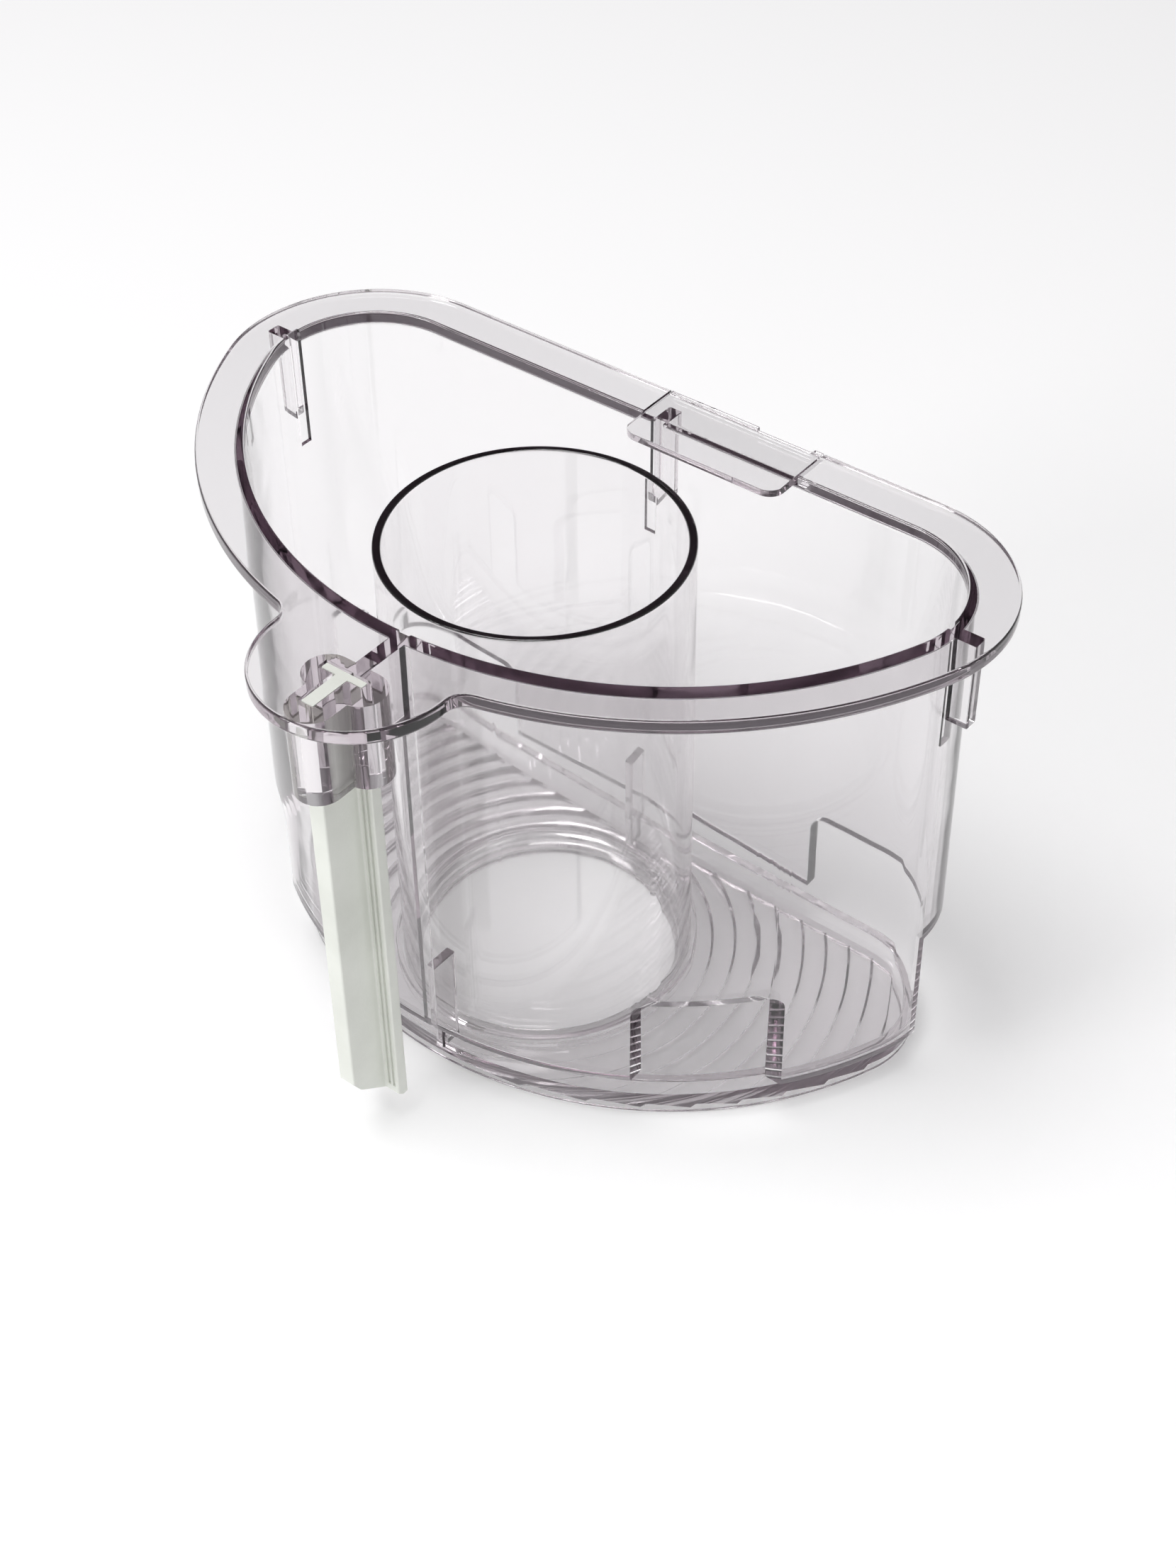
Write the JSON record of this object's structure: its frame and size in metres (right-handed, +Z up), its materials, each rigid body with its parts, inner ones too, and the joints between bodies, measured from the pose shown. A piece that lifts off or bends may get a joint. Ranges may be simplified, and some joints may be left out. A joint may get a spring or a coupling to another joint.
{
  "type": "food processor pusher and sleeve",
  "caption": "Clear D-shaped food pusher: a flanged sleeve with a hanging T-section interlock rod and a sliding lock plate, around a tray pusher that carries a round small feed tube.",
  "frame": {"origin": "middle of the overall footprint, on the surface that the pusher's tray stands on", "axes": "+Z up towards the rim, +Y towards the flat back with the lock plate, -Y towards the ear with the rod"},
  "size_m": [0.1374, 0.0936, 0.0883],
  "materials": {
    "clear_plastic": "clear polycarbonate with a faint violet-grey tint, polished",
    "pale_plastic": "pale grey-green moulded plastic, satin"
  },
  "bodies": {
    "sleeve": {"sleeve": "clear_plastic", "interlock_rod": "pale_plastic"},
    "pusher": {"pusher_tray": "clear_plastic", "small_feed_tube": "clear_plastic"},
    "lock": {"lock_plate": "clear_plastic"}
  },
  "joints": [
    {"name": "pusher_slide", "type": "slide", "parent": "sleeve", "child": "pusher", "axis": [0, 0, 1], "range_m": [0, 0.06]},
    {"name": "lock_slide", "type": "slide", "parent": "sleeve", "child": "lock", "axis": [0, 1, 0], "range_m": [0, 0.0055]}
  ]
}
